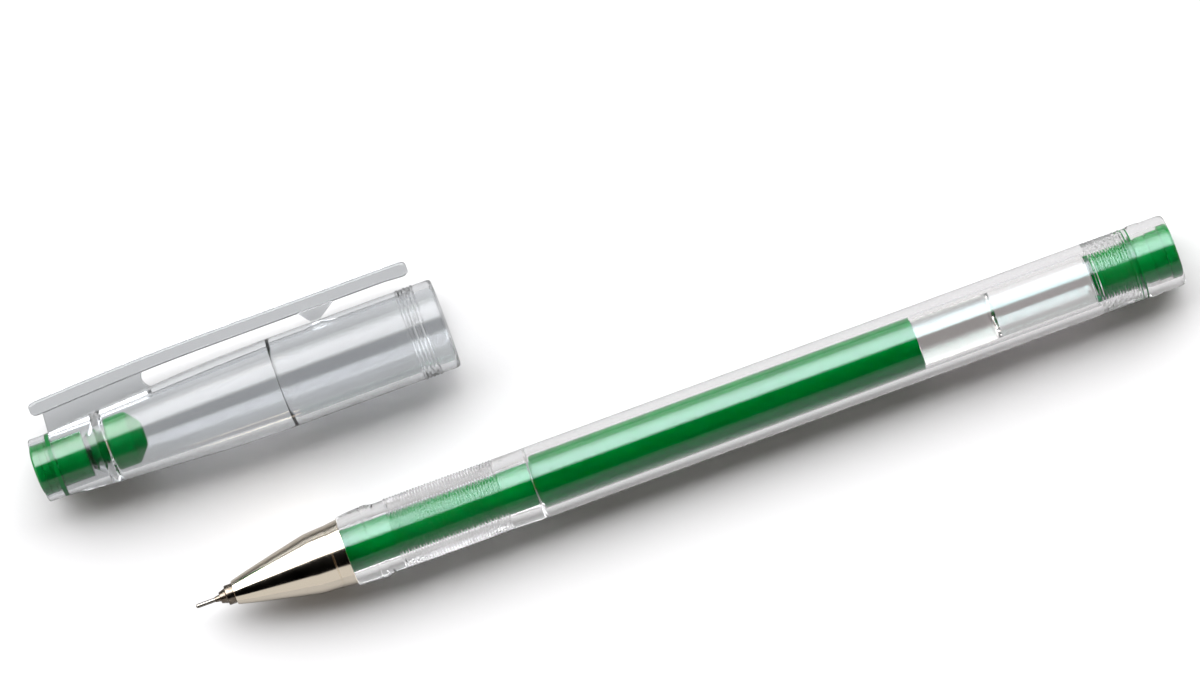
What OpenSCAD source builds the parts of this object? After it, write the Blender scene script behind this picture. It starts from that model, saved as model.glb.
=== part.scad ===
// Capped gel pen with a needle point, laid out with its cap off beside it.
// Every piece of the pen is turned about one line along X, and every piece of the cap about another.
// Stations on the pen (s) run back from the tip of the ball. Stations on the cap (t) run from the
// crown towards the mouth. Both sets of stations grow towards +X. The pen and cap lie on Z = 0.

/* [Layout] */
// Length of the pen without its cap
pen_length = 127; // [115:1:140]
// Distance that the crown of the cap lies ahead of the point of the pen
cap_lead = 12.6; // [5:0.1:30]
// Distance between the pen's line and the cap's line
lane_spacing = 22.1; // [20:0.1:40]

/* [Point] */
// Radius of the writing ball
ball_r = 0.2; // [0.15:0.01:0.25]
// Outer radius of the needle pipe
needle_r = 0.28; // [0.26:0.01:0.35]
// Station of the front of the metal cone
cone_front_s = 5; // [4.8:0.1:5.2]
// Station where the cone ends and the barrel begins
barrel_front_s = 19.7; // [19.2:0.1:20]

/* [Barrel] */
// Outer radius of the plain shank
shank_r = 4.53; // [4.4:0.01:4.6]
// Radius of the bore round the nose of the refill
front_bore_r = 2.95; // [2.9:0.01:3]
// Radius of the bore round the tube of the refill
rear_bore_r = 3.47; // [3.44:0.01:3.6]
// Number of rings on the grip
grip_rings = 37; // [20:1:37]
// Number of rings at the tail
tail_rings = 13; // [5:1:13]
// Spacing of the rings
ring_pitch = 0.378; // [0.3:0.001:0.378]

/* [Refill] */
// Outer radius of the refill's nose
nose_r = 2.8; // [2.6:0.01:2.84]
// Outer radius of the refill's tube
tube_r = 3.35; // [3.2:0.01:3.38]
// Radius of the bore of the refill's tube
tube_bore_r = 2.93; // [2.85:0.01:3]
// Station of the rear end of the ink
ink_end_s = 93.6; // [60:0.1:100]
// Length of the grease that follows the ink
follower_length = 10; // [4:0.5:12]

/* [Cap] */
// Length of the cap
cap_length = 53.1; // [52:0.1:56]
// Outer radius of the cap's sleeve
sleeve_r = 5.65; // [5.6:0.01:5.8]
// Radius of the bore that takes the barrel
sleeve_bore_r = 4.75; // [4.7:0.01:4.8]
// Radius of the bore behind the crown plug
crown_bore_r = 3.5; // [3.45:0.01:3.55]
// Radius of the seal's body
seal_r = 3.3; // [3.1:0.01:3.35]

/* [Clip] */
// Height of the clip's outer face above the cap's line
clip_top_r = 8.95; // [8.8:0.01:9.4]
// Thickness of the clip's arm
clip_thickness = 1.8; // [1.6:0.1:2]
// Width of the clip's arm
clip_width = 3.6; // [3:0.1:4.5]
// Thickness of the web that joins the clip to the cap
web_thickness = 1.6; // [1.2:0.1:2]

/* [Hidden] */

round_fn = 96;          // smoothness of turned pieces
ring_dome = 0.015;      // how far a ring's crest stands above its two sides
ring_stagger = 0.03;    // how far every second ring stands below the others
flare_r = 4.65;         // largest radius of the barrel, at the ring behind the cone
spigot_r = 3.45;        // barrel's spigot inside the cone, standing for its thread
thread_bore_r = 3.5;    // cone's bore over that spigot
spigot_front_s = 15.5;
grip_front_s = barrel_front_s + 6.1;
grip_end_s = grip_front_s + grip_rings * ring_pitch;
seat_s = 43.8;          // step in the barrel's bore that stops the refill
nub_s = 40.9;           // two small nubs in the bore that centre the refill's nose
nub_r = 0.35;
shank_front_s = 45.6;   // where the plain shank reaches its full radius
tail_ring_s = pen_length - 10.55;
lip_s = pen_length - 5.6;
barrel_end_s = pen_length - 0.1;
fit_gap = 0.03;         // running clearance of the plug's lips in the bore

holder_front_s = 5.6;   // front face of the refill's nose, where the collar's flange stops
socket_r = 0.8;         // socket in the refill's nose that holds the collar
socket_end_s = 9;
duct_r = 0.45;          // narrow duct from the ink to the collar
nose_bore_r = 1.9;
nose_bore_s = 12.3;
tube_front_s = 44.25;
tube_end_s = pen_length - 11.05;
nose_end_s = 50;        // rear end of the nose, inside the tube
ink_gap = 0.02;         // gap between a liquid and the wall round it
pipe_end_s = 6;

total_length = cap_lead + pen_length;
crown_x = -total_length / 2;
tip_x = crown_x + cap_lead;
pen_y = -(lane_spacing + clip_top_r - flare_r) / 2;
cap_y = pen_y + lane_spacing;
pen_z = flare_r;
cap_ring_r = sleeve_r + 0.1;
cap_z = cap_ring_r;

step_t = 31.7;          // step in the cap's bore that stops on the front of the barrel
mouth_ring_t = cap_length - 4.6;
mouth_rings = 5;
mouth_ring_pitch = 0.46;
hinge_t = 18.4;         // where the clip's arm flexes
hinge_h = clip_top_r - 1.1;
knuckle_r = 0.9;
knuckle_gap = 0.05;
catch_gap = 0.08;       // gap between the clip's catch and the sleeve at rest

// Points round an arc, from angle a0 to angle a1
function arc(cx, cy, r, a0, a1, steps) =
    [for (i = [0 : steps]) let (a = a0 + (a1 - a0) * i / steps) [cx + r * cos(a), cy + r * sin(a)]];

// Profile of a run of low domed rings from station s0: every second ring stands a little prouder
function rings(s0, count, pitch, base_r, crest_r) = concat(
    [for (i = [0 : count - 1])
        let (s = s0 + i * pitch, r = crest_r - ring_stagger * (i % 2), side_r = r - ring_dome)
        each [[base_r, s], [side_r, s + 0.28 * pitch], [r, s + pitch / 2], [side_r, s + 0.72 * pitch]]],
    [[base_r, s0 + count * pitch]]);

// A piece turned from its profile, given as [radius, station] points
module turned(profile) {
    rotate_extrude($fn = round_fn) polygon(profile);
}

// Stands a turned piece on the pen's line, with station 0 at the tip of the ball
module on_pen() {
    translate([tip_x, pen_y, pen_z]) rotate([0, 90, 0]) children();
}

// Stands a turned piece on the cap's line, with station 0 at the crown
module on_cap() {
    translate([crown_x, cap_y, cap_z]) rotate([0, 90, 0]) children();
}

// Extrudes a side outline of the clip, given as [station, height above the cap's line] points
module clip_slab(outline, width) {
    translate([crown_x, cap_y, cap_z - width / 2]) linear_extrude(width) polygon(outline);
}

// Clear barrel: a long tube with a ringed grip, a bead behind the cone and a ringed tail
module barrel() {
    bore = [
        [front_bore_r, spigot_front_s], [front_bore_r, 40.4], [front_bore_r + 0.18, seat_s],
        [front_bore_r + 0.26, seat_s], [rear_bore_r, seat_s + 0.3], [rear_bore_r, barrel_end_s]
    ];
    outside = concat(
        [[spigot_r - 0.2, spigot_front_s], [spigot_r, spigot_front_s + 0.25], [spigot_r, barrel_front_s],
         [4.28, barrel_front_s], [4.4, barrel_front_s + 0.2]],
        [[4.52, barrel_front_s + 1.2], [4.6, barrel_front_s + 2.4], [4.62, barrel_front_s + 2.95]],
        [[4.56, barrel_front_s + 3.0], [4.56, barrel_front_s + 3.1], [flare_r, barrel_front_s + 3.15]],
        [[flare_r, barrel_front_s + 3.75], [4.6, barrel_front_s + 4.1], [4.4, barrel_front_s + 4.6]],
        [[4.4, grip_front_s]],
        rings(grip_front_s, grip_rings, ring_pitch, 4.38, 4.54),
        [[4.5, grip_end_s + 0.15], [4.5, seat_s - 2], [shank_r, shank_front_s], [shank_r, tail_ring_s]],
        rings(tail_ring_s, tail_rings, ring_pitch, 4.42, 4.57),
        [[4.5, lip_s - 0.1], [4.5, lip_s + 0.7], [4.62, lip_s + 0.95], [4.62, lip_s + 2.1]],
        [[4.55, lip_s + 2.35]],
        [for (p = arc(0, 0, 0.8, 0, 80, 6)) [3.75 + p[0], barrel_end_s - 0.8 + p[1]]]
    );
    ends = [[3.75, barrel_end_s]];
    color([0.92, 0.92, 0.94, 0.35]) on_pen() {
        turned(concat(bore, ends, [for (i = [len(outside) - 1 : -1 : 0]) outside[i]]));
        for (side = [-1, 1])
            translate([0, side * (front_bore_r + 0.2), nub_s]) sphere(nub_r, $fn = 32);
    }
}

// Bright metal cone that screws over the barrel's spigot and guides the collar
module nose_cone() {
    f = cone_front_s;
    e = barrel_front_s;
    color([0.78, 0.76, 0.73]) on_pen() turned([
        [1.3, f], [1.42, f], [1.5, f + 0.08], [2.08, f + 2.3], [3.03, f + 6.5], [3.82, f + 10.2],
        [3.98, e - 1.82], [3.93, e - 1.77], [3.93, e - 1.69], [4, e - 1.64], [4.2, e - 0.1], [4.15, e],
        [thread_bore_r, e], [thread_bore_r, spigot_front_s - 0.15], [2.95, 14.35],
        [2.55, 11.6], [1.62, 7.4], [1.3, 6]
    ]);
}

// Clear nose of the refill: holds the metal collar in front and plugs into the tube behind
module refill_nose() {
    color([0.85, 0.93, 0.88, 0.5]) on_pen() turned([
        [socket_r, holder_front_s], [1.2, holder_front_s], [1.44, 7.4], [2.36, 11.5], [nose_r, 14.2],
        [nose_r, 40.6], [nose_r + 0.16, seat_s], [tube_bore_r, seat_s], [tube_bore_r, nose_end_s],
        [2.3, nose_end_s], [nose_bore_r, nose_end_s - 1.5], [nose_bore_r, nose_bore_s],
        [duct_r, nose_bore_s - 0.7], [duct_r, socket_end_s], [socket_r, socket_end_s]
    ]);
}

// Clear tube that stores the ink, open at its rear end
module refill_tube() {
    color([0.93, 0.93, 0.94, 0.35]) on_pen() turned([
        [tube_bore_r, tube_front_s], [3.12, tube_front_s], [tube_r, tube_front_s + 0.3],
        [tube_r, tube_end_s - 0.15], [tube_r - 0.1, tube_end_s], [tube_bore_r, tube_end_s]
    ]);
}

// Gel ink, from the duct behind the collar to the follower
module gel_ink() {
    color([0, 0.5, 0.2]) on_pen() turned([
        [0, socket_end_s + ink_gap], [duct_r - ink_gap, socket_end_s + ink_gap],
        [duct_r - ink_gap, nose_bore_s - 0.7], [nose_bore_r - ink_gap, nose_bore_s],
        [nose_bore_r - ink_gap, nose_end_s - 1.5], [2.3 - ink_gap, nose_end_s + ink_gap],
        [tube_bore_r - ink_gap, nose_end_s + ink_gap], [tube_bore_r - ink_gap, ink_end_s],
        [0, ink_end_s]
    ]);
}

// Clear grease that follows the ink down the tube, with a hollow meniscus behind
module ink_follower() {
    back_s = ink_end_s + follower_length;
    r = tube_bore_r - ink_gap;
    meniscus_r = 5.5;
    dip = meniscus_r - sqrt(meniscus_r * meniscus_r - r * r);
    color([0.9, 0.88, 0.82, 0.5]) on_pen() difference() {
        turned([[0, ink_end_s + ink_gap], [r, ink_end_s + ink_gap], [r, back_s], [0, back_s]]);
        translate([0, 0, back_s - dip + meniscus_r]) sphere(meniscus_r, $fn = round_fn);
    }
}

// Turned metal collar: grips the needle in front, and its stem sits in the refill's nose
module needle_collar() {
    color([0.5, 0.48, 0.45]) on_pen() turned([
        [needle_r, 2.5], [0.33, 2.5], [0.45, 3.16], [0.7, 3.16], [0.95, 3.95], [1.2, 3.99],
        [1.25, 4.04], [1.25, cone_front_s - 0.03], [1.2, cone_front_s + 0.03], [1.2, holder_front_s],
        [socket_r, holder_front_s], [socket_r, socket_end_s], [0.4, socket_end_s],
        [0.4, pipe_end_s], [needle_r, pipe_end_s]
    ]);
}

// Steel pipe whose rolled lip holds the ball, with a ring of dimples behind the ball
module needle_pipe() {
    ball_bore_r = ball_r + 0.015;
    lip_r = ball_r - 0.01;
    dimple_s = 2 * ball_r + 0.06;
    color([0.62, 0.61, 0.6]) on_pen() turned([
        [lip_r, 0.1], [0.235, 0.1], [needle_r, 0.22], [needle_r, pipe_end_s], [0.2, pipe_end_s],
        [0.2, dimple_s + 0.1], [0.14, dimple_s + 0.05], [0.14, dimple_s],
        [ball_bore_r, dimple_s - 0.03], [ball_bore_r, 0.18]
    ]);
}

// Hard ball that rolls the ink on to the paper
module writing_ball() {
    color([0.45, 0.45, 0.47]) on_pen() translate([0, 0, ball_r]) sphere(ball_r, $fn = 48);
}

// Coloured plug that closes the tail: two feet keep the refill forward and two lips seal the bore
module tail_plug() {
    front_s = pen_length - 10.5;
    head_s = pen_length - 1.4;
    lip_r = rear_bore_r - fit_gap;
    body_r = 3;
    foot_length = 0.5;
    color([0, 0.5, 0.19]) on_pen() {
        difference() {
            turned(concat(
                [[0, front_s], [body_r, front_s], [body_r, front_s + 0.92], [2.86, front_s + 0.96]],
                [[2.86, front_s + 1.06], [body_r, front_s + 1.1], [body_r, lip_s - 0.05]],
                [[lip_r, lip_s], [lip_r, lip_s + 0.2], [3.1, lip_s + 0.25], [3.1, lip_s + 0.5]],
                [[lip_r, lip_s + 0.6], [lip_r, lip_s + 0.85], [2.95, lip_s + 0.95]],
                [[2.95, lip_s + 2.25], [2.8, lip_s + 2.3], [2.8, lip_s + 2.45], [3.05, lip_s + 2.5]],
                [[3.05, head_s - 0.04], [3.4, head_s], [3.4, pen_length - 0.3]],
                [[3.3, pen_length - 0.14], [1.8, pen_length - 0.03], [0, pen_length]]
            ));
            translate([0, 0, front_s - 1]) cylinder(r = 2.1, h = 8.6, $fn = round_fn);
        }
        intersection() {
            turned([
                [2.35, front_s - foot_length], [body_r, front_s - foot_length],
                [body_r, front_s + 0.1], [2.35, front_s + 0.1]
            ]);
            translate([-1.3, -5, front_s - foot_length - 1]) cube([2.6, 10, 3]);
        }
    }
}

// Clear cap: a tapered sleeve with a cone-shaped partition behind its seal, and the clip's web
module cap_shell() {
    crown_end_t = 0.4;
    outside = concat(
        [[crown_bore_r, crown_end_t], [3.8, crown_end_t], [3.99, crown_end_t + 0.25], [3.99, 2.5]],
        [[4.5, 7.5], [5, 15.8], [5.28, 20], [5.53, 24.1], [5.62, 28], [sleeve_r, 30.7]],
        [[sleeve_r, mouth_ring_t]],
        rings(mouth_ring_t, mouth_rings, mouth_ring_pitch, sleeve_r - 0.05, cap_ring_r),
        [[sleeve_r, mouth_ring_t + 2.45]],
        [for (p = arc(0, 0, 0.6, 0, 90, 6)) [sleeve_r - 0.6 + p[0], cap_length - 0.6 + p[1]]]
    );
    bore = [
        [sleeve_bore_r + 0.12, cap_length], [sleeve_bore_r, cap_length - 0.4],
        [sleeve_bore_r, step_t + 0.4], [4.6, step_t], [4.33, step_t], [4.3, step_t - 0.9],
        [4.1, 24], [3.95, 18], [3.8, 13], [3.7, 9.85]
    ];
    partition = [[2, 8.1], [2, 7], [crown_bore_r, 8.6]];
    color([0.9, 0.91, 0.92, 0.35]) {
        on_cap() turned(concat(outside, bore, partition));
        clip_slab([
            [3.25, 6.5], [3.05, 3.8], [7.5, 4.2], [15.9, 4.75], [16.1, 5.1], [15.95, 5.6],
            [16.1, 6.2], [16.6, 6.9], [16.9, 7.2]
        ], web_thickness);
        difference() {
            clip_slab(concat(
                arc(2.9, 7.35, 0.95, 100, 250, 8),
                [[11.7, 6.7], [15.9, 6.95], [hinge_t - 0.1, hinge_h - knuckle_r - 0.02]],
                [[hinge_t - 0.1, hinge_h + knuckle_r + 0.02], [11.7, 8.6]]
            ), clip_width);
            translate([crown_x + hinge_t, cap_y + hinge_h, cap_z - clip_width])
                cylinder(r = knuckle_r + knuckle_gap, h = 2 * clip_width, $fn = 64);
        }
    }
}

// Springy arm of the clip, with the wedge that grips a pocket's edge
module clip_arm() {
    end_t = 50.95;
    end_r = 0.9;
    low_h = clip_top_r - clip_thickness;
    color([0.9, 0.91, 0.92, 0.35]) {
        clip_slab(concat(
            arc(hinge_t, hinge_h, knuckle_r, 90, 270, 16),
            [[25, low_h], [end_t - 2.2, low_h], [end_t - 1.6, low_h - 0.15]],
            arc(end_t - 0.8, low_h + 0.65, 0.8, -90, 0, 6),
            arc(end_t - end_r, clip_top_r - end_r, end_r, 0, 90, 6),
            [[25, clip_top_r]]
        ), clip_width);
        clip_slab([
            [36.6, low_h + 0.1], [37.7, sleeve_r + catch_gap], [38.9, sleeve_r + catch_gap],
            [41.1, low_h + 0.1]
        ], 2.2);
    }
}

// Coloured plug that closes the crown of the cap
module crown_plug() {
    color([0, 0.5, 0.19]) on_cap() difference() {
        turned([
            [0, 0], [2.2, 0.06], [2.9, 0.2], [3.2, 0.5], [3.2, 1.2], [3.12, 1.25], [3.2, 1.3],
            [3.2, 2.05], [3.12, 2.1], [3.2, 2.15], [3.2, 2.4], [crown_bore_r, 2.5], [crown_bore_r, 3.05],
            [2.9, 3.15], [2.9, 6.9], [0, 6.9]
        ]);
        translate([0, 0, 1.6]) cylinder(r = 2.1, h = 7, $fn = round_fn);
    }
}

// Soft coloured seal held by its neck in the partition: the needle's end goes into its socket
module needle_seal() {
    socket = 0.7;
    color([0, 0.5, 0.19]) on_cap() turned([
        [0, 7.65], [1.85, 7.65], [2, 7.8], [2, 9.25], [2.8, 9.5], [seal_r, 10], [seal_r, 12.5],
        [seal_r - 0.2, 12.8], [1.6, 14], [1.2, 14.1], [socket, 13.4], [socket, 10], [0, 10]
    ]);
}

barrel();
nose_cone();
refill_nose();
refill_tube();
gel_ink();
ink_follower();
needle_collar();
needle_pipe();
writing_ball();
tail_plug();
cap_shell();
clip_arm();
crown_plug();
needle_seal();
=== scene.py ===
"""Looks of the gel pen: turned clear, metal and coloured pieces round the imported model, in studio light."""
import math

import bmesh
import bpy
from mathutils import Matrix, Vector


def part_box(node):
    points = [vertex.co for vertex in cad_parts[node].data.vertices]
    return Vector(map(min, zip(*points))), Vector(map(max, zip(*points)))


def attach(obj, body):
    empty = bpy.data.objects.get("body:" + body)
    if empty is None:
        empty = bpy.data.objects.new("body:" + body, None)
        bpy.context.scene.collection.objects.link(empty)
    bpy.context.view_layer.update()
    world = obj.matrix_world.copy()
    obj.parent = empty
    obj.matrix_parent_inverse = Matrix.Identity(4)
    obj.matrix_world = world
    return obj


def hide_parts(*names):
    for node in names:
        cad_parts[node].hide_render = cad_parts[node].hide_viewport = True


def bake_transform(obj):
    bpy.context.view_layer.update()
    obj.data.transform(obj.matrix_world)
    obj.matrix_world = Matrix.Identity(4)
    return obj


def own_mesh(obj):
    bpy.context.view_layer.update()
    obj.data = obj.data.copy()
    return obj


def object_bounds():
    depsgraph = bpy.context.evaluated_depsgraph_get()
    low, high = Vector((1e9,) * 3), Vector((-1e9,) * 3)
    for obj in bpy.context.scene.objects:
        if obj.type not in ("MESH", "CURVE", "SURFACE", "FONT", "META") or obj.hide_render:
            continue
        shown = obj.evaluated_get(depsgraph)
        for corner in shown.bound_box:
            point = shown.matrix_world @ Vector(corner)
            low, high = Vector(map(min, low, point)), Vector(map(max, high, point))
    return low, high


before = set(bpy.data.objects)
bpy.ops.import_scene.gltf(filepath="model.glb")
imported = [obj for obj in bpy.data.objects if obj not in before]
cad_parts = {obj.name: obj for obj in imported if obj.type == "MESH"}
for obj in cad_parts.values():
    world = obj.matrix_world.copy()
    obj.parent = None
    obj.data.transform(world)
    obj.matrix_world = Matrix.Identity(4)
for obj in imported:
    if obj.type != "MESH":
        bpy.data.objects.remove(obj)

CAD_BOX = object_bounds()
MM = 0.001

# ---------------------------------------------------------------- places, from the frame
ball_low, ball_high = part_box("writing_ball")
crown_low, crown_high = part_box("crown_plug")
TIP = Vector((ball_low[0], (ball_low[1] + ball_high[1]) / 2, (ball_low[2] + ball_high[2]) / 2))
CROWN = Vector((crown_low[0], (crown_low[1] + crown_high[1]) / 2, (crown_low[2] + crown_high[2]) / 2))
FLOOR_Z = CAD_BOX[0][2]

# ---------------------------------------------------------------- sizes of the pen, in millimetres
PEN_LENGTH = 127.0
CONE_FRONT = 5.0
BARREL_FRONT = 19.7
SPIGOT_FRONT = 15.5
SPIGOT_R = 3.45
THREAD_BORE_R = 3.5
FRONT_BORE_R = 2.95
REAR_BORE_R = 3.47
FLARE_R = 4.65
SHANK_R = 4.53
SEAT = 43.8
NUB = 40.9
RING_PITCH = 0.378
RING_DOME = 0.015      # how far the middle of a ring's crest stands over its shoulders
RING_STAGGER = 0.03    # how much lower every second ring is
GRIP_FRONT = BARREL_FRONT + 6.1
GRIP_RINGS = 37
TAIL_RINGS_AT = PEN_LENGTH - 10.55
TAIL_RINGS = 13
LIP = PEN_LENGTH - 5.6
BARREL_END = PEN_LENGTH - 0.1

HOLDER_FRONT = 5.6
SOCKET_R = 0.8
SOCKET_END = 9.0
DUCT_R = 0.45
NOSE_R = 2.8
NOSE_BORE_R = 1.9
NOSE_BORE = 12.3
NOSE_END = 50.0
TUBE_R = 3.35
TUBE_BORE_R = 2.93
TUBE_FRONT = 44.25
TUBE_END = PEN_LENGTH - 11.05
INK_END = 93.6
FOLLOWER_END = 103.6
PIPE_R = 0.28
PIPE_END = 6.0
BALL_R = 0.2
# A wet or pressed surface is sunk this far into the clear wall round it, so that no film of air shows
WETTING = 0.02
# The refill's gloss is tinted towards the colour of the ink that fills it
INK_GLOSS = (0.45, 0.85, 0.8, 1)

# ---------------------------------------------------------------- sizes of the cap, in millimetres
CAP_LENGTH = 53.1
SLEEVE_R = 5.65
SLEEVE_BORE_R = 4.75
CROWN_BORE_R = 3.5
STEP = 31.7
MOUTH_RINGS_AT = CAP_LENGTH - 4.6
MOUTH_RINGS = 5
MOUTH_RING_PITCH = 0.46
SEAL_R = 3.3
CLIP_TOP = 8.95
CLIP_THICKNESS = 1.8
CLIP_WIDTH = 3.6
CLIP_END = 50.95
WEB_THICKNESS = 1.6

ROUND = 144            # points round a large turned piece
FINE_ROUND = 96        # points round a small one


# ---------------------------------------------------------------- mesh helpers
def mesh_object(name, verts, faces):
    """A smooth mesh object, sharp only where its faces meet at a real corner."""
    mesh = bpy.data.meshes.new(name)
    mesh.from_pydata([v[:] for v in verts], [], faces)
    mesh.validate()
    bm = bmesh.new()
    bm.from_mesh(mesh)
    bmesh.ops.recalc_face_normals(bm, faces=bm.faces)
    bm.to_mesh(mesh)
    bm.free()
    mesh.shade_smooth()
    obj = bpy.data.objects.new(name, mesh)
    bpy.context.scene.collection.objects.link(obj)
    return obj


def even_normals(obj, sharp_degrees=50):
    """Flat stretches keep flat shading right up to the rounded corners beside them."""
    obj.data.set_sharp_from_angle(angle=math.radians(sharp_degrees))
    normals = obj.modifiers.new("even_normals", "WEIGHTED_NORMAL")
    normals.keep_sharp = True
    normals.weight = 80


def rounded(points, closed, steps=4):
    """Cuts back each corner that states a third value, and bridges it with a smooth curve."""
    out = []
    count = len(points)
    for i, point in enumerate(points):
        here = Vector(point[:2])
        cut = point[2] if len(point) > 2 else 0
        inner = closed or 0 < i < count - 1
        if not cut or not inner:
            out.append(here)
            continue
        before = Vector(points[i - 1][:2]) - here
        after = Vector(points[(i + 1) % count][:2]) - here
        start = here + before.normalized() * min(cut, before.length * 0.48)
        end = here + after.normalized() * min(cut, after.length * 0.48)
        for k in range(steps + 1):
            t = k / steps
            out.append(start.lerp(here, t).lerp(here.lerp(end, t), t))
    return out


def turned(name, origin, profile, closed=True, around=ROUND, steps=4):
    """Turns a profile of (station, radius, rounding) points about the line through origin along X.

    A closed profile makes a tube. An open one starts and ends on the line and makes a solid.
    """
    points = rounded(profile, closed, steps)
    verts, rings, faces = [], [], []
    for station, radius in points:
        if radius < 1e-6:
            rings.append([len(verts)])
            verts.append(origin + Vector((station * MM, 0, 0)))
            continue
        rings.append(list(range(len(verts), len(verts) + around)))
        for k in range(around):
            a = 2 * math.pi * k / around
            verts.append(origin + Vector((station, radius * math.cos(a), radius * math.sin(a))) * MM)
    pairs = list(zip(rings, rings[1:])) + ([(rings[-1], rings[0])] if closed else [])
    for low, high in pairs:
        for k in range(around):
            n = (k + 1) % around
            if len(low) == 1 and len(high) == 1:
                break
            if len(low) == 1:
                faces.append((low[0], high[k], high[n]))
            elif len(high) == 1:
                faces.append((low[k], high[0], low[n]))
            else:
                faces.append((low[k], high[k], high[n], low[n]))
    obj = mesh_object(name, verts, faces)
    even_normals(obj)
    return obj


def ring_run(start, count, pitch, base, crest):
    """Profile points of a run of domed rings; every second ring stands a little prouder."""
    out = []
    for i in range(count):
        s = start + i * pitch
        top = crest - RING_STAGGER * (i % 2)
        out += [(s, base, 0.02), (s + 0.28 * pitch, top - RING_DOME, 0.03), (s + 0.5 * pitch, top),
                (s + 0.72 * pitch, top - RING_DOME, 0.03)]
    return out + [(start + count * pitch, base, 0.02)]


def slab(name, outline, width, bevel):
    """A plate with a side outline of (station, height above the cap's line) points and bevelled edges."""
    half = width / 2
    verts = [CROWN + Vector((t, h, z)) * MM for z in (-half, half) for t, h in outline]
    n = len(outline)
    faces = [tuple(range(n - 1, -1, -1)), tuple(range(n, 2 * n))]
    faces += [(i, (i + 1) % n, n + (i + 1) % n, n + i) for i in range(n)]
    obj = mesh_object(name, verts, faces)
    mod = obj.modifiers.new("bevel", "BEVEL")
    mod.width = bevel * MM
    mod.segments = 3
    mod.limit_method = "ANGLE"
    mod.angle_limit = math.radians(50)
    return obj


def baked(obj):
    """Applies an object's modifiers to its mesh."""
    depsgraph = bpy.context.evaluated_depsgraph_get()
    mesh = bpy.data.meshes.new_from_object(obj.evaluated_get(depsgraph), depsgraph=depsgraph)
    obj.modifiers.clear()
    obj.data = mesh
    return obj


def fused(obj, *others):
    """Joins solids that overlap into one closed skin."""
    for other in others:
        baked(other)
        mod = obj.modifiers.new("join", "BOOLEAN")
        mod.operation = "UNION"
        mod.solver = "EXACT"
        mod.object = other
    baked(obj)
    for other in others:
        bpy.data.objects.remove(other)
    obj.data.shade_smooth()
    even_normals(obj, 35)
    return obj


# ---------------------------------------------------------------- material helpers
def srgb(r, g, b):
    """A display colour of 0 to 255 as the linear colour that a shader takes."""
    def linear(c):
        c /= 255
        return c / 12.92 if c <= 0.04045 else ((c + 0.055) / 1.055) ** 2.4
    return (linear(r), linear(g), linear(b), 1.0)


class Shader:
    """A Principled material whose colour, roughness and bump vary with noise in the object's own space."""

    def __init__(self, name, color, **sockets):
        self.material = bpy.data.materials.new(name)
        self.material.use_nodes = True
        self.tree = self.material.node_tree
        self.bsdf = self.tree.nodes["Principled BSDF"]
        self.bsdf.inputs["Base Color"].default_value = color
        for socket, value in sockets.items():
            self.bsdf.inputs[socket.replace("_", " ")].default_value = value
        self.coords = self.tree.nodes.new("ShaderNodeTexCoord")
        self.last_normal = None

    def noise(self, scale, detail=4.0, stretch=(1, 1, 1)):
        """Noise of so many features to the millimetre, stretched along the axes."""
        mapping = self.tree.nodes.new("ShaderNodeMapping")
        mapping.inputs["Scale"].default_value = stretch
        tex = self.tree.nodes.new("ShaderNodeTexNoise")
        tex.inputs["Scale"].default_value = scale / MM
        tex.inputs["Detail"].default_value = detail
        self.tree.links.new(self.coords.outputs["Object"], mapping.inputs["Vector"])
        self.tree.links.new(mapping.outputs["Vector"], tex.inputs["Vector"])
        return tex.outputs["Fac"]

    def spread(self, fac, low, high, start=0.3, end=0.7):
        """Maps noise on to a range of values."""
        node = self.tree.nodes.new("ShaderNodeMapRange")
        for socket, value in (("From Min", start), ("From Max", end), ("To Min", low), ("To Max", high)):
            node.inputs[socket].default_value = value
        self.tree.links.new(fac, node.inputs["Value"])
        return node.outputs["Result"]

    def roughness(self, fac, low, high):
        self.tree.links.new(self.spread(fac, low, high), self.bsdf.inputs["Roughness"])
        return self

    def colors(self, fac, dark, light):
        """Lets the base colour wander between two colours."""
        node = self.tree.nodes.new("ShaderNodeMix")
        node.data_type = "RGBA"
        node.inputs["A"].default_value = dark
        node.inputs["B"].default_value = light
        self.tree.links.new(self.spread(fac, 0, 1), node.inputs["Factor"])
        self.tree.links.new(node.outputs["Result"], self.bsdf.inputs["Base Color"])
        return self

    def bump(self, fac, height, strength=1.0):
        """Adds relief of so many millimetres on top of what is already there."""
        node = self.tree.nodes.new("ShaderNodeBump")
        node.inputs["Distance"].default_value = height * MM
        node.inputs["Strength"].default_value = strength
        self.tree.links.new(fac, node.inputs["Height"])
        if self.last_normal:
            self.tree.links.new(self.last_normal, node.inputs["Normal"])
        self.last_normal = node.outputs["Normal"]
        self.tree.links.new(self.last_normal, self.bsdf.inputs["Normal"])
        return self


def clear_plastic(name, color, ior, haze=(0.0, 0.03), waviness=0.004, gloss=(1, 1, 1, 1)):
    """Clear moulded plastic: faint waves along the flow and a slight change of haze."""
    s = Shader(name, color, Transmission_Weight=1.0, IOR=ior, Specular_Tint=gloss)
    s.roughness(s.noise(0.12, 3, (0.4, 1, 1)), *haze)
    s.bump(s.noise(0.25, 2, (0.15, 1, 1)), waviness)
    return s.material


def green_plastic(name, dark, light, rough=(0.18, 0.3)):
    """Coloured moulded plastic: a fine skin and a slight change of colour."""
    s = Shader(name, light, IOR=1.5, Specular_IOR_Level=0.25, Specular_Tint=(0.3, 0.9, 0.8, 1))
    s.colors(s.noise(0.35, 5), dark, light)
    s.roughness(s.noise(0.8, 4), *rough)
    s.bump(s.noise(6, 3), 0.004)
    return s.material


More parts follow.
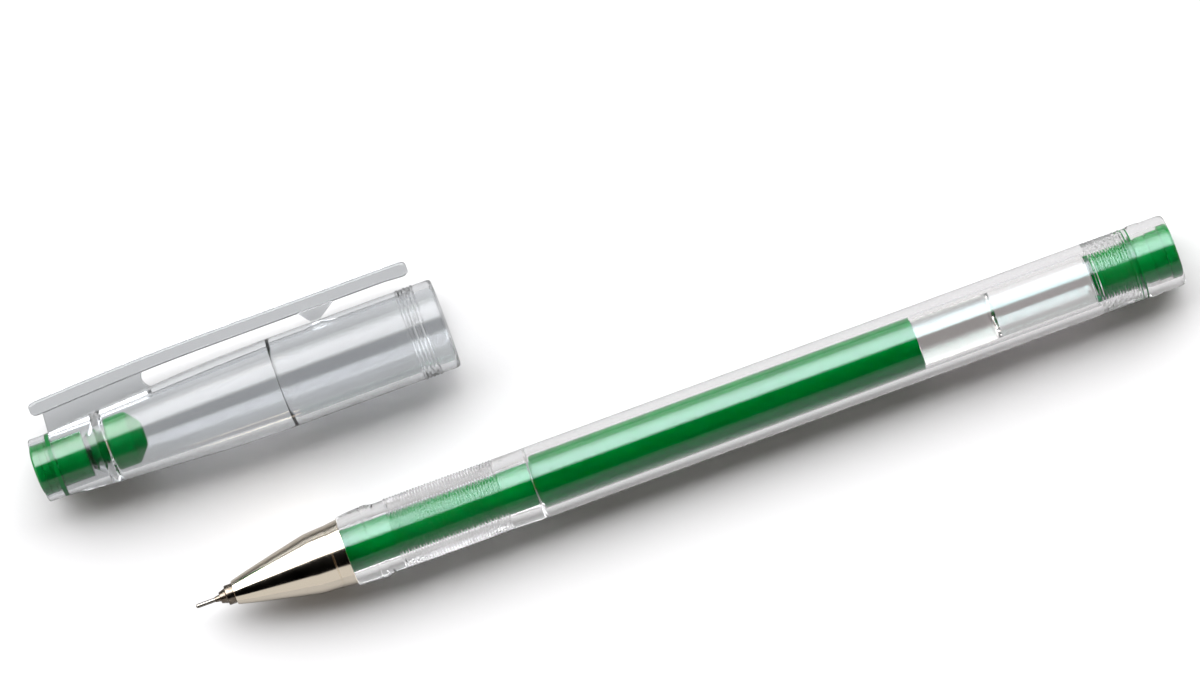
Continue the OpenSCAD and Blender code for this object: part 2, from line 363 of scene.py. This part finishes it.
def gel_material():
    """Wet gel against a clear wall: deep green, slightly translucent and with no gloss of its own."""
    s = Shader("green_gel", srgb(0, 147, 61), Roughness=0.6, Subsurface_Weight=1.0, Subsurface_Scale=3 * MM)
    s.bsdf.inputs["Subsurface Radius"].default_value = (1, 1, 1)
    s.bsdf.inputs["Specular IOR Level"].default_value = 0.0
    s.colors(s.noise(0.3, 5, (0.25, 1, 1)), srgb(0, 143, 58), srgb(0, 151, 64))
    return s.material


def grease_material():
    """Clear grease with a slight cloud in it."""
    s = Shader("clear_grease", (0.97, 0.965, 0.95, 1), Transmission_Weight=1.0, IOR=1.46)
    s.roughness(s.noise(0.5, 4), 0.0, 0.08)
    s.bump(s.noise(0.4, 3), 0.01)
    return s.material


def plated_metal():
    """Polished nickel plate: faint lines from turning, and smears that dull it here and there."""
    s = Shader("plated_metal", (0.98, 0.88, 0.73, 1), Metallic=1.0)
    s.roughness(s.noise(0.3, 4), 0.07, 0.13)
    s.bump(s.noise(9, 2, (1, 0.04, 0.04)), 0.0006)
    return s.material


def turned_metal():
    """Darker turned metal of the collar, with visible tool lines."""
    s = Shader("turned_metal", (0.22, 0.19, 0.16, 1), Metallic=1.0)
    s.colors(s.noise(2, 3), (0.16, 0.13, 0.1, 1), (0.28, 0.24, 0.2, 1))
    s.roughness(s.noise(2, 3), 0.15, 0.3)
    s.bump(s.noise(14, 2, (1, 0.05, 0.05)), 0.002)
    return s.material


def needle_steel():
    """Drawn steel of the pipe: lines along its length."""
    s = Shader("needle_steel", (0.32, 0.3, 0.27, 1), Metallic=1.0)
    s.roughness(s.noise(3, 3), 0.16, 0.28)
    s.bump(s.noise(20, 2, (0.05, 1, 1)), 0.001)
    return s.material


def ball_carbide():
    """Dark lapped carbide."""
    s = Shader("ball_carbide", (0.3, 0.3, 0.32, 1), Metallic=1.0)
    s.roughness(s.noise(8, 3), 0.08, 0.16)
    s.bump(s.noise(40, 2), 0.0005)
    return s.material


def floor_material():
    """Plain pale floor: white to the camera, grey to reflections, and with a painted glow that only rays
    through clear plastic see, standing in for light that passes through the plastic.
    """
    s = Shader("floor", (0.3, 0.3, 0.3, 1), Roughness=0.9)
    s.bsdf.inputs["Specular IOR Level"].default_value = 0.0
    s.colors(s.noise(0.02, 3), (0.62, 0.62, 0.622, 1), (0.63, 0.63, 0.63, 1))
    s.bump(s.noise(1.5, 3), 0.01)
    seen = s.tree.nodes.new("ShaderNodeMix")
    seen.data_type = "RGBA"
    seen.inputs["A"].default_value = (0.28, 0.28, 0.28, 1)
    path = s.tree.nodes.new("ShaderNodeLightPath")
    s.tree.links.new(path.outputs["Is Camera Ray"], seen.inputs["Factor"])
    s.tree.links.new(s.bsdf.inputs["Base Color"].links[0].from_socket, seen.inputs["B"])
    s.tree.links.new(seen.outputs["Result"], s.bsdf.inputs["Base Color"])
    # Painted glow: the floor emits light only to rays that came through clear plastic, in place of the light
    # that passes through the plastic on to the floor
    s.bsdf.inputs["Emission Color"].default_value = (0.32, 0.32, 0.32, 1)
    s.tree.links.new(path.outputs["Is Transmission Ray"], s.bsdf.inputs["Emission Strength"])
    s.material.cycles.emission_sampling = "NONE"
    return s.material


# ---------------------------------------------------------------- pieces of the pen
def add(obj, body, node, material):
    """Dresses a piece, sets it on its body and hides the CAD node it stands for."""
    obj.data.materials.clear()
    obj.data.materials.append(material)
    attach(obj, body)
    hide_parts(node)
    return obj


def make_barrel():
    bore = [(SPIGOT_FRONT, FRONT_BORE_R, 0.1), (40.0, FRONT_BORE_R)]
    bore += [(NUB + 0.08 * i, FRONT_BORE_R + 0.01 + 0.004 * (i + 8)) for i in range(-8, 9)]
    bore += [(SEAT, FRONT_BORE_R + 0.18, 0.1), (SEAT, FRONT_BORE_R + 0.26, 0.05),
             (SEAT + 0.3, REAR_BORE_R, 0.15), (BARREL_END, REAR_BORE_R, 0.12)]
    s = BARREL_FRONT
    outside = [(SPIGOT_FRONT, SPIGOT_R, 0.25), (s, SPIGOT_R, 0.05), (s, 4.4, 0.12),
               (s + 1.2, 4.52, 0.4), (s + 2.95, 4.62, 0.08), (s + 3.0, 4.56, 0.03),
               (s + 3.1, 4.56, 0.03), (s + 3.15, FLARE_R, 0.04),
               (s + 3.75, FLARE_R, 0.15), (s + 4.6, 4.4, 0.3), (GRIP_FRONT, 4.4, 0.05)]
    outside += ring_run(GRIP_FRONT, GRIP_RINGS, RING_PITCH, 4.38, 4.54)
    outside += [(GRIP_FRONT + GRIP_RINGS * RING_PITCH + 0.15, 4.5, 0.1), (SEAT - 2, 4.5, 0.8),
                (SEAT + 1.8, SHANK_R, 0.8), (TAIL_RINGS_AT, SHANK_R, 0.03)]
    outside += ring_run(TAIL_RINGS_AT, TAIL_RINGS, RING_PITCH, 4.42, 4.57)
    outside += [(LIP - 0.1, 4.5, 0.05), (LIP + 0.7, 4.5, 0.1), (LIP + 0.95, 4.62, 0.15),
                (LIP + 2.1, 4.62, 0.15), (LIP + 2.35, 4.55, 0.1), (BARREL_END, 4.55, 0.85)]
    obj = turned("barrel", TIP, bore + outside[::-1])
    # Two small nubs inside the bore, on its +Y and -Y sides, come from pulling its wall inwards
    for v in obj.data.vertices:
        offset = (v.co - TIP) / MM
        radius = math.hypot(offset.y, offset.z)
        away = math.hypot(offset.x - NUB, offset.z)
        if radius < FRONT_BORE_R + 0.2 and away < 0.36:
            lift = 0.16 * math.cos(math.pi / 2 * away / 0.36)
            shrink = 1 - lift / radius
            v.co = TIP + Vector((offset.x, offset.y * shrink, offset.z * shrink)) * MM
    material = clear_plastic("clear_barrel", (0.985, 0.98, 0.985, 1), 1.46, gloss=(0.82, 0.92, 0.97, 1))
    return add(obj, "barrel", "barrel", material)


def make_nose_cone():
    f, e = CONE_FRONT, BARREL_FRONT
    outside = [(f, 1.3, 0.04), (f, 1.5, 0.07), (f + 2.3, 2.08, 0.8), (f + 6.5, 3.03, 1.2),
               (f + 10.2, 3.82, 0.35),
               (e - 1.82, 3.98, 0.03), (e - 1.77, 3.93, 0.02), (e - 1.69, 3.93, 0.02), (e - 1.64, 4.0, 0.03),
               (e, 4.18, 0.08)]
    inside = [(e, THREAD_BORE_R, 0.06), (SPIGOT_FRONT - 0.15, THREAD_BORE_R, 0.05),
              (14.35, 2.95), (11.6, 2.55), (7.4, 1.62), (6, 1.3)]
    obj = turned("nose_cone", TIP, outside + inside)
    return add(obj, "nose_cone", "nose_cone", plated_metal())


def make_refill_nose():
    profile = [(HOLDER_FRONT, SOCKET_R), (HOLDER_FRONT, 1.2, 0.05), (7.4, 1.44, 0.3),
               (11.5, 2.36, 0.6), (14.2, NOSE_R, 0.6), (40.6, NOSE_R, 0.8),
               (SEAT, NOSE_R + 0.16, 0.05), (SEAT, TUBE_BORE_R, 0.02),
               (NOSE_END, TUBE_BORE_R, 0.1), (NOSE_END, 2.3, 0.1), (NOSE_END - 1.5, NOSE_BORE_R, 0.3),
               (NOSE_BORE, NOSE_BORE_R, 0.2), (NOSE_BORE - 0.7, DUCT_R, 0.1), (SOCKET_END, DUCT_R),
               (SOCKET_END, SOCKET_R)]
    material = clear_plastic("clear_refill_nose", (0.99, 0.99, 0.985, 1), 1.4, gloss=INK_GLOSS)
    return add(turned("refill_nose", TIP, profile), "refill", "refill_nose", material)


def make_refill_tube():
    profile = [(TUBE_FRONT, TUBE_BORE_R, 0.04), (TUBE_FRONT, TUBE_R, 0.3), (TUBE_END, TUBE_R, 0.12),
               (TUBE_END, TUBE_BORE_R, 0.08)]
    material = clear_plastic("clear_refill_tube", (0.985, 0.985, 0.98, 1), 1.4, (0.0, 0.05), gloss=INK_GLOSS)
    return add(turned("refill_tube", TIP, profile), "refill", "refill_tube", material)


def make_ink():
    """The ink in two pieces: the part in the refill's nose stays, and the part in the tube is used up."""
    wet, middle = WETTING, TUBE_FRONT + 0.1
    gel = gel_material()
    in_nose = [(SOCKET_END, 0), (SOCKET_END, DUCT_R - wet), (NOSE_BORE - 0.7, DUCT_R, 0.1),
               (NOSE_BORE, NOSE_BORE_R + wet, 0.2), (middle + 0.5, NOSE_BORE_R + wet), (middle + 0.5, 0)]
    add(turned("gel_ink_nose", TIP, in_nose, closed=False), "refill", "gel_ink", gel)
    in_tube = [(middle, 0), (middle, TUBE_BORE_R + wet, 0.05), (INK_END - 0.1, TUBE_BORE_R + wet, 0.08),
               (INK_END, TUBE_BORE_R - 0.1, 0.08), (INK_END, 0)]
    obj = add(turned("gel_ink_tube", TIP, in_tube, closed=False), "refill", "gel_ink", gel)
    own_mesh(obj)


def make_follower():
    r = TUBE_BORE_R - WETTING
    dish = [(FOLLOWER_END - 0.8 * (1 - (k / 8) ** 2), r * k / 8) for k in range(7, -1, -1)]
    profile = [(INK_END + 0.02, 0), (INK_END + 0.02, r, 0.08), (FOLLOWER_END, r, 0.05)] + dish
    obj = turned("ink_follower", TIP, profile, closed=False)
    return add(obj, "follower", "ink_follower", grease_material())


def make_collar():
    profile = [(2.5, PIPE_R), (2.5, 0.33, 0.02), (3.16, 0.45, 0.02), (3.16, 0.7, 0.05), (3.95, 0.95, 0.06),
               (3.99, 1.2), (4.04, 1.25, 0.03), (CONE_FRONT - 0.03, 1.25, 0.03),
               (CONE_FRONT + 0.03, 1.2), (HOLDER_FRONT, 1.2, 0.03), (HOLDER_FRONT, SOCKET_R),
               (SOCKET_END, SOCKET_R, 0.05), (SOCKET_END, 0.4, 0.03), (PIPE_END, 0.4), (PIPE_END, PIPE_R)]
    obj = turned("needle_collar", TIP, profile, around=FINE_ROUND)
    return add(obj, "refill", "needle_collar", turned_metal())


def make_pipe():
    profile = [(0.1, BALL_R - 0.01, 0.01), (0.1, 0.235, 0.02), (0.22, PIPE_R, 0.04), (PIPE_END, PIPE_R, 0.02),
               (PIPE_END, 0.2), (0.56, 0.2, 0.02), (0.51, 0.14, 0.02), (0.46, 0.14, 0.02),
               (0.43, BALL_R + 0.015, 0.02), (0.18, BALL_R + 0.015)]
    obj = turned("needle_pipe", TIP, profile, around=FINE_ROUND)
    return add(obj, "refill", "needle_pipe", needle_steel())


def make_ball():
    angles = [math.pi * k / 32 for k in range(33)]
    profile = [(BALL_R * (1 - math.cos(a)), BALL_R * math.sin(a)) for a in angles]
    obj = turned("writing_ball", TIP, profile, closed=False, around=64)
    return add(obj, "refill", "writing_ball", ball_carbide())


def make_tail_plug():
    front, head = PEN_LENGTH - 10.5, PEN_LENGTH - 1.4
    lip_r = REAR_BORE_R + WETTING
    body = 3.0
    profile = [(front + 7.6, 0), (front + 7.6, 2.1, 0.3), (front, 2.1, 0.06), (front, body, 0.08),
               (front + 0.92, body, 0.03), (front + 0.96, 2.86),
               (front + 1.06, 2.86), (front + 1.1, body, 0.03),
               (LIP - 0.05, body, 0.04), (LIP, lip_r, 0.03), (LIP + 0.2, lip_r, 0.05),
               (LIP + 0.25, 3.1, 0.04), (LIP + 0.5, 3.1, 0.04), (LIP + 0.6, lip_r, 0.05),
               (LIP + 0.85, lip_r, 0.04), (LIP + 0.95, 2.95, 0.04), (LIP + 2.25, 2.95, 0.03),
               (LIP + 2.3, 2.8), (LIP + 2.45, 2.8), (LIP + 2.5, 3.05, 0.03),
               (head - 0.04, 3.05, 0.03), (head, 3.4, 0.06), (PEN_LENGTH - 0.2, 3.4, 0.16),
               (PEN_LENGTH - 0.03, 1.8, 0.8), (PEN_LENGTH, 0)]
    plug = turned("tail_plug", TIP, profile, closed=False)
    feet = []
    for side in (-1, 1):  # the two feet at its front, on the +Y and -Y sides
        corners = [math.radians(90 * side + a) for a in range(-24, 25, 4)]
        verts, n = [], len(corners)
        for s in (front - 0.5, front + 0.15):
            for r in (2.35, body):
                verts += [TIP + Vector((s, r * math.sin(a), r * math.cos(a))) * MM for a in corners]
        loop = list(range(n)) + list(range(2 * n - 1, n - 1, -1))
        back = [i + 2 * n for i in loop]
        faces = [tuple(loop), tuple(back[::-1])]
        for i in range(2 * n):
            after = (i + 1) % (2 * n)
            faces.append((loop[i], loop[after], back[after], back[i]))
        foot = mesh_object("foot", verts, faces)
        mod = foot.modifiers.new("bevel", "BEVEL")
        mod.width = 0.05 * MM
        mod.segments = 2
        mod.limit_method = "ANGLE"
        mod.angle_limit = math.radians(50)
        feet.append(foot)
    fused(plug, *feet)
    return add(plug, "tail_plug", "tail_plug",
               green_plastic("green_tail_plug", srgb(0, 118, 44), srgb(0, 124, 48)))


# ---------------------------------------------------------------- pieces of the cap
def make_cap_shell():
    crown_end = 0.4
    outside = [(crown_end, CROWN_BORE_R, 0.08), (crown_end, 3.99, 0.22), (2.5, 3.99, 0.6), (7.5, 4.5, 1.5),
               (15.8, 5.0, 2.0), (20, 5.28, 2.0), (24.1, 5.53, 2.0), (30.7, SLEEVE_R, 2.0),
               (MOUTH_RINGS_AT, SLEEVE_R, 0.04)]
    outside += ring_run(MOUTH_RINGS_AT, MOUTH_RINGS, MOUTH_RING_PITCH, SLEEVE_R - 0.05, SLEEVE_R + 0.1)
    outside += [(MOUTH_RINGS_AT + 2.45, SLEEVE_R, 0.05), (CAP_LENGTH, SLEEVE_R, 0.6)]
    inside = [(CAP_LENGTH, SLEEVE_BORE_R + 0.06, 0.2), (CAP_LENGTH - 0.5, SLEEVE_BORE_R, 0.2),
              (STEP + 0.4, SLEEVE_BORE_R, 0.08), (STEP, 4.6, 0.08), (STEP, 4.33, 0.04), (STEP - 0.9, 4.3, 0.2),
              (24, 4.1, 1.5), (18, 3.95, 1.5), (13, 3.8, 1.5), (9.85, 3.7, 0.15), (8.1, 2, 0.1), (7, 2, 0.1),
              (8.6, CROWN_BORE_R, 0.15)]
    material = clear_plastic("clear_cap", (0.86, 0.875, 0.89, 1), 1.46, haze=(0.03, 0.09))
    obj = turned("cap_shell", CROWN, outside + inside)
    return add(obj, "cap", "cap_shell", material)


def clip_bar():
    """The clip's bar: a lofted rounded section, thin at its free end and bent down at its root."""
    def heights(t):
        if t < 25:
            rise = math.sin(math.pi / 2 * max(0, t - 1.9) / 23.1)
            return 6.35 + 0.8 * rise, 8.22 + (CLIP_TOP - 8.22) * rise
        hook = 0.15 * max(0, min(1, (t - 48.5) / 1.2))
        return CLIP_TOP - CLIP_THICKNESS - hook, CLIP_TOP

    def section(t, low, high, half):
        points = []
        mid, tall = (low + high) / 2, (high - low) / 2
        for k in range(32):
            a = 2 * math.pi * k / 32
            c, s = math.cos(a), math.sin(a)
            squarish = 0.42
            points.append(CROWN + Vector((t, mid + tall * math.copysign(abs(s) ** squarish, s),
                                          half * math.copysign(abs(c) ** squarish, c))) * MM)
        return points

    start, half = 1.9, CLIP_WIDTH / 2
    stations = [start + 0.9 * (1 - math.cos(math.radians(a))) for a in range(12, 91, 13)]
    stations += [3.4 + 1.2 * k for k in range(38)]
    stations += [CLIP_END - 0.85 * (1 - math.sin(math.radians(a))) for a in range(0, 80, 11)]
    sections = []
    for t in stations:
        low, high = heights(t)
        edge = min(1, (t - start) / 0.9, (CLIP_END - t) / 0.85)
        round_off = math.sqrt(max(0.02, 1 - (1 - edge) ** 2))
        mid, tall = (low + high) / 2, (high - low) / 2
        shrink = 0.35 + 0.65 * round_off
        sections.append(section(t, mid - tall * shrink, mid + tall * shrink, half * (0.8 + 0.2 * round_off)))
    verts = [v for ring in sections for v in ring]
    faces = [tuple(range(31, -1, -1)), tuple(range(len(verts) - 32, len(verts)))]
    for i in range(len(sections) - 1):
        for k in range(32):
            n = (k + 1) % 32
            faces.append((32 * i + k, 32 * i + n, 32 * (i + 1) + n, 32 * (i + 1) + k))
    return mesh_object("clip", verts, faces)


def make_clip():
    clip = clip_bar()
    web = slab("web", [(3.25, 6.6), (3.05, 3.85), (7.5, 4.3), (15.9, 4.85)] +
               [(16.9 - 0.95 * math.sin(math.pi * (0.06 + 0.8 * k / 6)), 5.0 + 2.3 * k / 6) for k in range(7)],
               WEB_THICKNESS, 0.12)
    low = CLIP_TOP - CLIP_THICKNESS
    catch = slab("catch", [(36.6, low + 0.3), (36.6, low), (37.7, SLEEVE_R + 0.08), (38.9, SLEEVE_R + 0.08),
                           (41.1, low), (41.1, low + 0.3)], 2.2, 0.1)
    fused(clip, web, catch)
    clip.data.materials.append(clear_plastic("clear_clip", (0.66, 0.675, 0.69, 1), 1.5))
    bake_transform(clip)
    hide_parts("clip_arm")
    return clip


def make_crown_plug():
    ring_r = CROWN_BORE_R + WETTING
    profile = [(0, 0), (0.06, 2.2, 0.5), (0.2, 2.95, 0.2), (0.5, 3.2, 0.2), (1.2, 3.2, 0.02), (1.25, 3.12),
               (1.3, 3.2, 0.02), (2.05, 3.2, 0.02), (2.1, 3.12), (2.15, 3.2, 0.02), (2.4, 3.2, 0.04),
               (2.5, ring_r, 0.05), (3.05, ring_r, 0.05), (3.15, 2.9, 0.04), (6.9, 2.9, 0.12),
               (6.9, 2.1, 0.08), (1.6, 2.1, 0.3), (1.6, 0)]
    obj = turned("crown_plug", CROWN, profile, closed=False)
    material = green_plastic("green_crown_plug", srgb(0, 118, 44), srgb(0, 124, 48))
    return add(obj, "cap", "crown_plug", material)


def make_needle_seal():
    profile = [(7.65, 0), (7.65, 1.85, 0.12), (7.8, 2.0 + WETTING, 0.1), (9.25, 2.0 + WETTING, 0.08),
               (9.5, 2.8, 0.1), (10, SEAL_R, 0.15), (12.6, SEAL_R, 0.3), (14.1, 1.5, 0.5)]
    profile += [(14.1, 1.15, 0.15), (13.4, 0.7, 0.15), (10, 0.7, 0.1), (10, 0)]
    obj = turned("needle_seal", CROWN, profile, closed=False)
    material = green_plastic("green_seal", srgb(0, 122, 48), srgb(0, 128, 52), rough=(0.45, 0.6))
    return add(obj, "cap", "needle_seal", material)


# ---------------------------------------------------------------- studio
def make_floor():
    half = 3.0
    corners = [Vector((x * half, y * half, FLOOR_Z)) for x, y in ((-1, -1), (1, -1), (1, 1), (-1, 1))]
    floor = mesh_object("floor", corners, [(0, 1, 2, 3)])
    floor.data.materials.append(floor_material())


def make_light():
    """A long softbox on the +Y side, a weak fill on the -Y side, and dark between them overhead.

    Its places are degrees of lean from straight up towards +Y, and shares of the way along X.
    The camera sees the world itself as plain pale.
    """
    world = bpy.data.worlds.new("studio")
    bpy.context.scene.world = world
    world.use_nodes = True
    tree = world.node_tree
    nodes, links = tree.nodes, tree.links
    background = nodes["Background"]

    def math_node(operation, a, b=None):
        node = nodes.new("ShaderNodeMath")
        node.operation = operation
        for socket, value in zip(node.inputs, (a, b)):
            if isinstance(value, (int, float)):
                socket.default_value = value
            elif value is not None:
                links.new(value, socket)
        return node.outputs[0]

    def step(value, low, high, out_low=0.0, out_high=1.0):
        node = nodes.new("ShaderNodeMapRange")
        node.interpolation_type = "SMOOTHSTEP"
        numbers = {"From Min": low, "From Max": high, "To Min": out_low, "To Max": out_high}
        for socket, number in numbers.items():
            node.inputs[socket].default_value = number
        links.new(value, node.inputs["Value"])
        return node.outputs["Result"]

    def band(value, start, full, fading, end):
        return math_node("MULTIPLY", step(value, start, full), step(value, fading, end, 1, 0))

    def tinted(factor, color):
        node = nodes.new("ShaderNodeMix")
        node.data_type = "RGBA"
        node.inputs["A"].default_value = (0, 0, 0, 1)
        node.inputs["B"].default_value = color
        links.new(factor, node.inputs["Factor"])
        return node.outputs["Result"]

    def added(a, b):
        node = nodes.new("ShaderNodeMix")
        node.data_type = "RGBA"
        node.blend_type = "ADD"
        node.inputs["Factor"].default_value = 1.0
        links.new(a, node.inputs["A"])
        links.new(b, node.inputs["B"])
        return node.outputs["Result"]

    split = nodes.new("ShaderNodeSeparateXYZ")
    links.new(nodes.new("ShaderNodeTexCoord").outputs["Generated"], split.inputs[0])
    lean = math_node("MULTIPLY", math_node("ARCTAN2", split.outputs["Y"], split.outputs["Z"]), 180 / math.pi)
    along = math_node("ABSOLUTE", split.outputs["X"])
    middle = step(along, 0.7, 0.85, 1, 0)
    even = band(lean, 13, 27, 72, 77)
    softbox = math_node("MULTIPLY", math_node("MULTIPLY", even, step(lean, 50, 70, 1, 0.45)), middle)
    rim = math_node("MULTIPLY", band(lean, 72, 77, 92, 100), middle)
    fill = math_node("MULTIPLY", band(lean, -112, -98, -47, -42), middle)
    ends = math_node("MULTIPLY", step(along, 0.7, 0.9), step(split.outputs["Z"], -0.05, 0.1))
    light = added(added(tinted(softbox, (7.2, 7.2, 7.3, 1)), tinted(fill, (0.62, 0.61, 0.6, 1))),
                  added(tinted(ends, (0.3, 0.2, 0.12, 1)), tinted(rim, (0.42, 0.39, 0.36, 1))))
    pale = nodes.new("ShaderNodeMix")
    pale.data_type = "RGBA"
    pale.inputs["B"].default_value = (0.96, 0.96, 0.96, 1)
    links.new(nodes.new("ShaderNodeLightPath").outputs["Is Camera Ray"], pale.inputs["Factor"])
    links.new(light, pale.inputs["A"])
    links.new(pale.outputs["Result"], background.inputs["Color"])


def make_camera():
    """Looks straight down with a long lens, turned so that the pen rises to the right."""
    camera = bpy.data.cameras.new("camera")
    camera.lens = 192
    camera.sensor_width = 36
    camera.clip_end = 20
    obj = bpy.data.objects.new("camera", camera)
    bpy.context.scene.collection.objects.link(obj)
    obj.location = (0.0, -0.0002, 0.785)
    obj.rotation_euler = (0, 0, math.radians(-20.09))
    bpy.context.scene.camera = obj


make_camera()
make_light()
make_floor()
make_barrel()
make_nose_cone()
make_refill_nose()
make_refill_tube()
make_ink()
make_follower()
make_collar()
make_pipe()
make_ball()
make_tail_plug()
make_cap_shell()
make_clip()
make_crown_plug()
make_needle_seal()

scene = bpy.context.scene
scene.view_settings.view_transform = "Standard"
scene.cycles.max_bounces = 24
scene.cycles.transmission_bounces = 24
scene.cycles.glossy_bounces = 10
